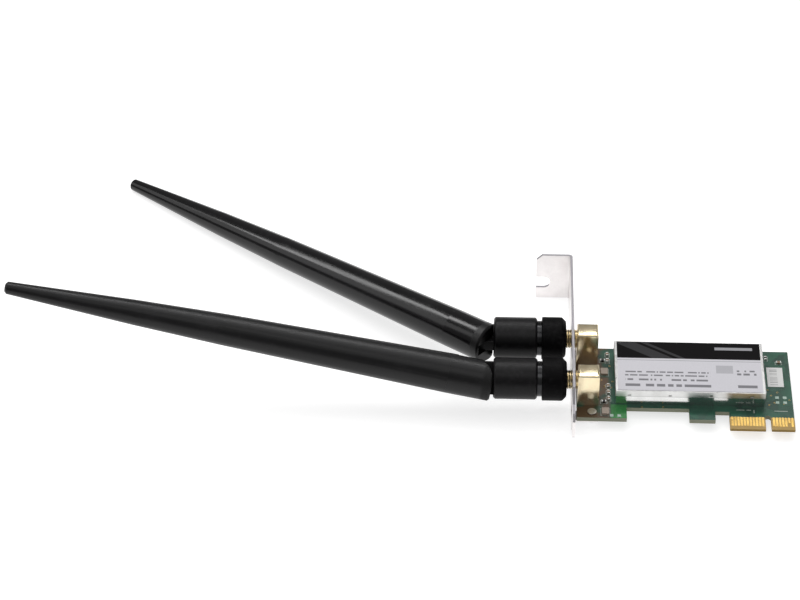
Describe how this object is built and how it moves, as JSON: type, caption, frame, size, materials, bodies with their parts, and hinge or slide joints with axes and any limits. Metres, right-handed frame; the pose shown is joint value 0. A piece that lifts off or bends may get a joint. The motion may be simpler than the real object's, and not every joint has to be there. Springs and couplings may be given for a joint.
{
  "type": "pcie wireless card",
  "caption": "Low-profile expansion card with a shielded radio, slot bracket, edge contacts and jointed rod antennas that screw on coaxial jacks, swivel and fold.",
  "frame": {"origin": "middle of the key notch at the leading edge of the contacts, on the middle plane of the board", "axes": "+X along the board away from the bracket, -Y into the slot, +Z out of the component side; lies on its bracket edge and the far antenna's tip"},
  "size_m": [0.2601, 0.1384, 0.036],
  "materials": {
    "board_green": "solder mask",
    "contact_gold": "gold plate",
    "bracket_tin": "tin plate",
    "rivet_tin": "tin plate",
    "shield_tin": "tin plate",
    "label_paper": "printed",
    "sticker_paper": "printed",
    "jack_gold": "gold plate",
    "insulator_white": "plain",
    "chip_black": "moulded",
    "filter_tan": "fired",
    "capacitor_tan": "fired",
    "resistor_black": "coated",
    "crystal_metal": "plated",
    "inductor_grey": "ferrite",
    "pad_tin": "solder",
    "nut_black": "black plate",
    "shell_dark": "black nickel",
    "sleeve_black": "moulded",
    "rod_black": "moulded",
    "pin_steel": "plain",
    "dipole_brass": "plain",
    "lead_brown": "plain"
  },
  "bodies": {
    "card": {"board": "board_green", "contacts_component_side": "contact_gold", "contacts_solder_side": "contact_gold", "bracket": "bracket_tin", "bracket_rivets": "rivet_tin", "shield_frame": "shield_tin", "shield_lid": "shield_tin", "shield_label": "label_paper", "board_sticker": "sticker_paper", "ceramic_filters": "filter_tan", "test_pads": "pad_tin", "open_capacitors": "capacitor_tan", "open_resistors": "resistor_black", "radio_chip": "chip_black", "front_end_chips": "chip_black", "crystal": "crystal_metal", "regulator": "chip_black", "power_inductor": "inductor_grey", "memory_chip": "chip_black", "inner_capacitors": "capacitor_tan", "near_jack_body": "jack_gold", "near_jack_insulator": "insulator_white", "near_jack_pin": "contact_gold", "far_jack_body": "jack_gold", "far_jack_insulator": "insulator_white", "far_jack_pin": "contact_gold"},
    "near_base": {"near_plug_shell": "shell_dark", "near_plug_insulator": "insulator_white", "near_plug_contact": "contact_gold", "near_base_lead": "lead_brown", "near_base_sleeve": "sleeve_black"},
    "near_nut": {"near_coupling_nut": "nut_black"},
    "near_rod": {"near_elbow_fork": "sleeve_black", "near_hinge_pin": "pin_steel", "near_rod_cover": "rod_black", "near_dipole": "dipole_brass", "near_rod_lead": "lead_brown"},
    "far_base": {"far_plug_shell": "shell_dark", "far_plug_insulator": "insulator_white", "far_plug_contact": "contact_gold", "far_base_lead": "lead_brown", "far_base_sleeve": "sleeve_black"},
    "far_nut": {"far_coupling_nut": "nut_black"},
    "far_rod": {"far_elbow_fork": "sleeve_black", "far_hinge_pin": "pin_steel", "far_rod_cover": "rod_black", "far_dipole": "dipole_brass", "far_rod_lead": "lead_brown"}
  },
  "joints": [
    {"name": "near_swivel", "type": "hinge", "parent": "card", "child": "near_base", "pos_m": [-0.06616, 0.0132, 0.009], "axis": [1, 0, 0], "range_deg": [-90, 90]},
    {"name": "near_nut_spin", "type": "hinge", "parent": "near_base", "child": "near_nut", "pos_m": [-0.06616, 0.0132, 0.009], "axis": [1, 0, 0], "continuous": true},
    {"name": "near_tilt", "type": "hinge", "parent": "near_base", "child": "near_rod", "pos_m": [-0.09706, 0.0132, 0.009], "axis": [0, 0.809, -0.5878], "range_deg": [-9.8, 80.2]},
    {"name": "far_swivel", "type": "hinge", "parent": "card", "child": "far_base", "pos_m": [-0.06616, 0.0341, 0.009], "axis": [1, 0, 0], "range_deg": [-90, 90]},
    {"name": "far_nut_spin", "type": "hinge", "parent": "far_base", "child": "far_nut", "pos_m": [-0.06616, 0.0341, 0.009], "axis": [1, 0, 0], "continuous": true},
    {"name": "far_tilt", "type": "hinge", "parent": "far_base", "child": "far_rod", "pos_m": [-0.09706, 0.0341, 0.009], "axis": [0, -0.109, -0.994], "range_deg": [-37.7, 52.3]}
  ]
}
